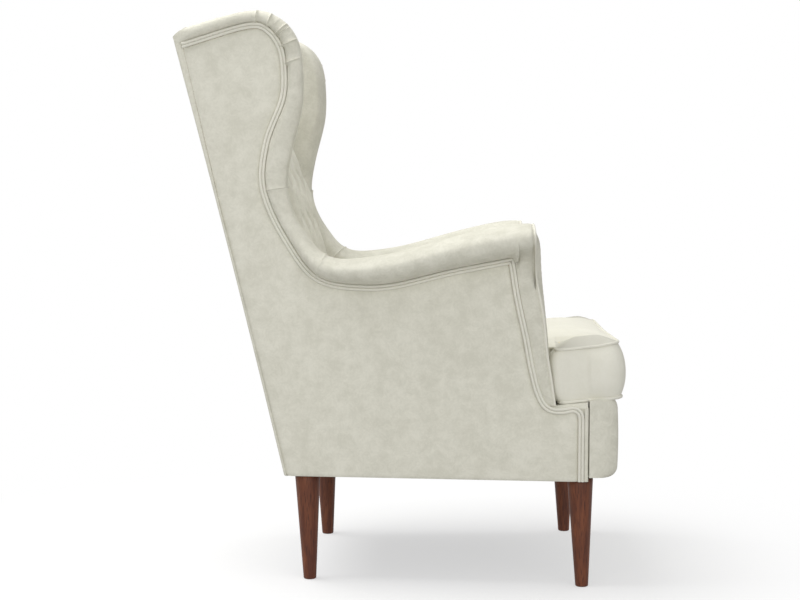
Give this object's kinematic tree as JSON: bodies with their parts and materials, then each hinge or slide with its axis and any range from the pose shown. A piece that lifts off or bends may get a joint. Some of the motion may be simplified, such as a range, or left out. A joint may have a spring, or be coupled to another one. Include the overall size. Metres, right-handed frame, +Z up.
{
  "type": "wingback armchair",
  "caption": "Velvet wingback armchair with rolled arms, a tufted inside back, a loose T-shaped seat cushion and tapered wooden legs.",
  "frame": {"origin": "on the floor, under the middle of the whole chair's box", "axes": "+Z up; the chair faces -Y; +X towards the left hand of a person sitting in it"},
  "size_m": [0.7464, 0.8149, 1.039],
  "materials": {
    "velvet": "short-pile cotton velvet, light greige",
    "cushion_velvet": "short-pile cotton velvet, light greige, pile brushed up",
    "welt_velvet": "velvet folded over piping cord",
    "foam": "open-cell upholstery foam",
    "zip_tape": "woven zip tape with nylon coil",
    "beech": "planed, unfinished",
    "plywood": "sawn birch plywood",
    "walnut": "turned, walnut stain under satin lacquer",
    "spring_steel": "drawn wire",
    "zinc_steel": "zinc plated",
    "webbing": "woven elastic webbing",
    "black_cloth": "non-woven cloth"
  },
  "bodies": {
    "chair_frame": {"outer_side_panel_left": "velvet", "outer_side_panel_right": "velvet", "outer_back_panel": "velvet", "inside_back_pad": "velvet", "wing_pad_left": "velvet", "wing_pad_right": "velvet", "arm_pad_left": "velvet", "arm_pad_right": "velvet", "arm_front_pad_left": "velvet", "arm_front_pad_right": "velvet", "arm_front_panel_left": "velvet", "arm_front_panel_right": "velvet", "front_border_pad": "velvet", "side_welt_left": "welt_velvet", "side_welt_right": "welt_velvet", "arm_front_welt_left": "welt_velvet", "arm_front_welt_right": "welt_velvet", "front_rail": "beech", "rear_rail": "beech", "side_rail_left": "beech", "side_rail_right": "beech", "corner_block_front_left": "beech", "corner_block_front_right": "beech", "corner_block_rear_left": "beech", "corner_block_rear_right": "beech", "back_post_left": "beech", "back_post_right": "beech", "back_top_rail": "beech", "back_bottom_rail": "beech", "arm_rail_left": "beech", "arm_rail_right": "beech", "arm_stump_left": "beech", "arm_stump_right": "beech", "wing_board_left": "plywood", "wing_board_right": "plywood", "seat_spring_1": "spring_steel", "seat_spring_2": "spring_steel", "seat_spring_3": "spring_steel", "seat_spring_4": "spring_steel", "back_web_1": "webbing", "back_web_2": "webbing", "back_web_3": "webbing", "seat_deck": "black_cloth", "dust_cover": "black_cloth", "leg_front_left": "walnut", "leg_front_right": "walnut", "leg_rear_left": "walnut", "leg_rear_right": "walnut", "leg_bolt_front_left": "zinc_steel", "leg_bolt_front_right": "zinc_steel", "leg_bolt_rear_left": "zinc_steel", "leg_bolt_rear_right": "zinc_steel"},
    "seat_cushion": {"cushion_cover": "cushion_velvet", "cushion_core": "foam", "cushion_zip": "zip_tape", "cushion_welt_top": "welt_velvet", "cushion_welt_bottom": "welt_velvet"}
  },
  "joints": [
    {"name": "cushion_lift", "type": "slide", "parent": "chair_frame", "child": "seat_cushion", "axis": [0, 0, 1], "range_m": [0, 0.3]}
  ]
}
